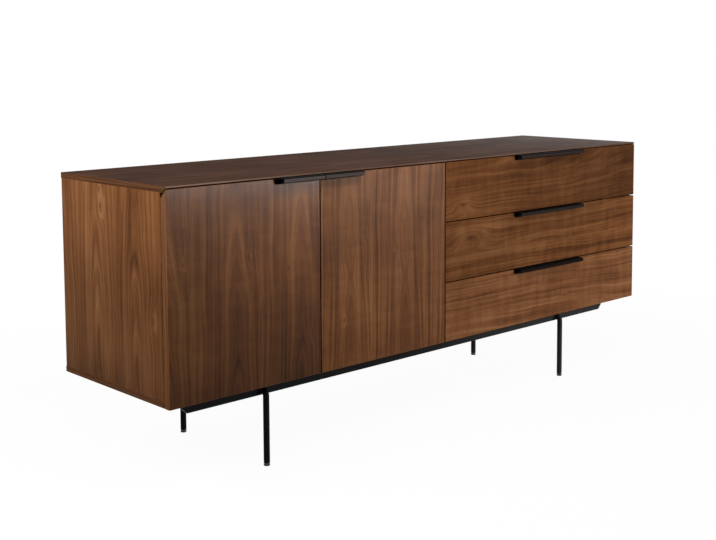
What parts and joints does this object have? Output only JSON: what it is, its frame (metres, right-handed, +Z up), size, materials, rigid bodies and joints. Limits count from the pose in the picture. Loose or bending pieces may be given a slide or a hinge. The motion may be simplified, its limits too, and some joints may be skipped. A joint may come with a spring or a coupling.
{
  "type": "office credenza",
  "caption": "Low walnut office credenza: a cupboard with hinged doors beside stacked drawers, mitred top edge, black edge pulls, slim black steel underframe.",
  "frame": {"origin": "on the floor, under the middle of the overall box of the case with its handles", "axes": "+X along the length towards the drawer end, -Y out of the doors and drawers, +Z up"},
  "size_m": [1.6, 0.43, 0.64],
  "materials": {
    "walnut_veneer": "satin lacquered walnut veneer",
    "drawer_box_wood": "clear lacquered birch plywood",
    "black_steel": "fine black powder coat",
    "zinc_steel": "bright zinc plated steel",
    "black_plastic": "matt moulded plastic"
  },
  "bodies": {
    "carcass": {"top_panel": "walnut_veneer", "bottom_panel": "walnut_veneer", "left_side_panel": "walnut_veneer", "right_side_panel": "walnut_veneer", "centre_divider": "walnut_veneer", "back_panel": "walnut_veneer", "shelf": "walnut_veneer", "left_shelf_cleat": "walnut_veneer", "right_shelf_cleat": "walnut_veneer", "left_door_lower_hinge_arm": "zinc_steel", "left_door_upper_hinge_arm": "zinc_steel", "right_door_lower_hinge_arm": "zinc_steel", "right_door_upper_hinge_arm": "zinc_steel", "bottom_drawer_left_case_runner": "zinc_steel", "bottom_drawer_right_case_runner": "zinc_steel", "middle_drawer_left_case_runner": "zinc_steel", "middle_drawer_right_case_runner": "zinc_steel", "top_drawer_left_case_runner": "zinc_steel", "top_drawer_right_case_runner": "zinc_steel", "front_rail": "black_steel", "rear_rail": "black_steel", "left_leg_frame": "black_steel", "right_leg_frame": "black_steel", "front_left_foot": "black_plastic", "rear_left_foot": "black_plastic", "front_right_foot": "black_plastic", "rear_right_foot": "black_plastic"},
    "left_door": {"left_door": "walnut_veneer", "left_door_handle": "black_steel", "left_door_lower_hinge_cup": "zinc_steel", "left_door_upper_hinge_cup": "zinc_steel"},
    "right_door": {"right_door": "walnut_veneer", "right_door_handle": "black_steel", "right_door_lower_hinge_cup": "zinc_steel", "right_door_upper_hinge_cup": "zinc_steel"},
    "bottom_drawer": {"bottom_drawer_front": "walnut_veneer", "bottom_drawer_handle": "black_steel", "bottom_drawer_left_side": "drawer_box_wood", "bottom_drawer_right_side": "drawer_box_wood", "bottom_drawer_back": "drawer_box_wood", "bottom_drawer_bottom": "drawer_box_wood", "bottom_drawer_left_runner": "zinc_steel", "bottom_drawer_right_runner": "zinc_steel"},
    "middle_drawer": {"middle_drawer_front": "walnut_veneer", "middle_drawer_handle": "black_steel", "middle_drawer_left_side": "drawer_box_wood", "middle_drawer_right_side": "drawer_box_wood", "middle_drawer_back": "drawer_box_wood", "middle_drawer_bottom": "drawer_box_wood", "middle_drawer_left_runner": "zinc_steel", "middle_drawer_right_runner": "zinc_steel"},
    "top_drawer": {"top_drawer_front": "walnut_veneer", "top_drawer_handle": "black_steel", "top_drawer_left_side": "drawer_box_wood", "top_drawer_right_side": "drawer_box_wood", "top_drawer_back": "drawer_box_wood", "top_drawer_bottom": "drawer_box_wood", "top_drawer_left_runner": "zinc_steel", "top_drawer_right_runner": "zinc_steel"}
  },
  "joints": [
    {"name": "left_door_hinge", "type": "hinge", "parent": "carcass", "child": "left_door", "pos_m": [-0.8, -0.195, 0.413], "axis": [0, 0, -1], "range_deg": [0, 90]},
    {"name": "right_door_hinge", "type": "hinge", "parent": "carcass", "child": "right_door", "pos_m": [0.001, -0.195, 0.413], "axis": [0, 0, 1], "range_deg": [0, 90]},
    {"name": "bottom_drawer_slide", "type": "slide", "parent": "carcass", "child": "bottom_drawer", "axis": [0, -1, 0], "range_m": [0, 0.26]},
    {"name": "middle_drawer_slide", "type": "slide", "parent": "carcass", "child": "middle_drawer", "axis": [0, -1, 0], "range_m": [0, 0.26]},
    {"name": "top_drawer_slide", "type": "slide", "parent": "carcass", "child": "top_drawer", "axis": [0, -1, 0], "range_m": [0, 0.26]}
  ]
}
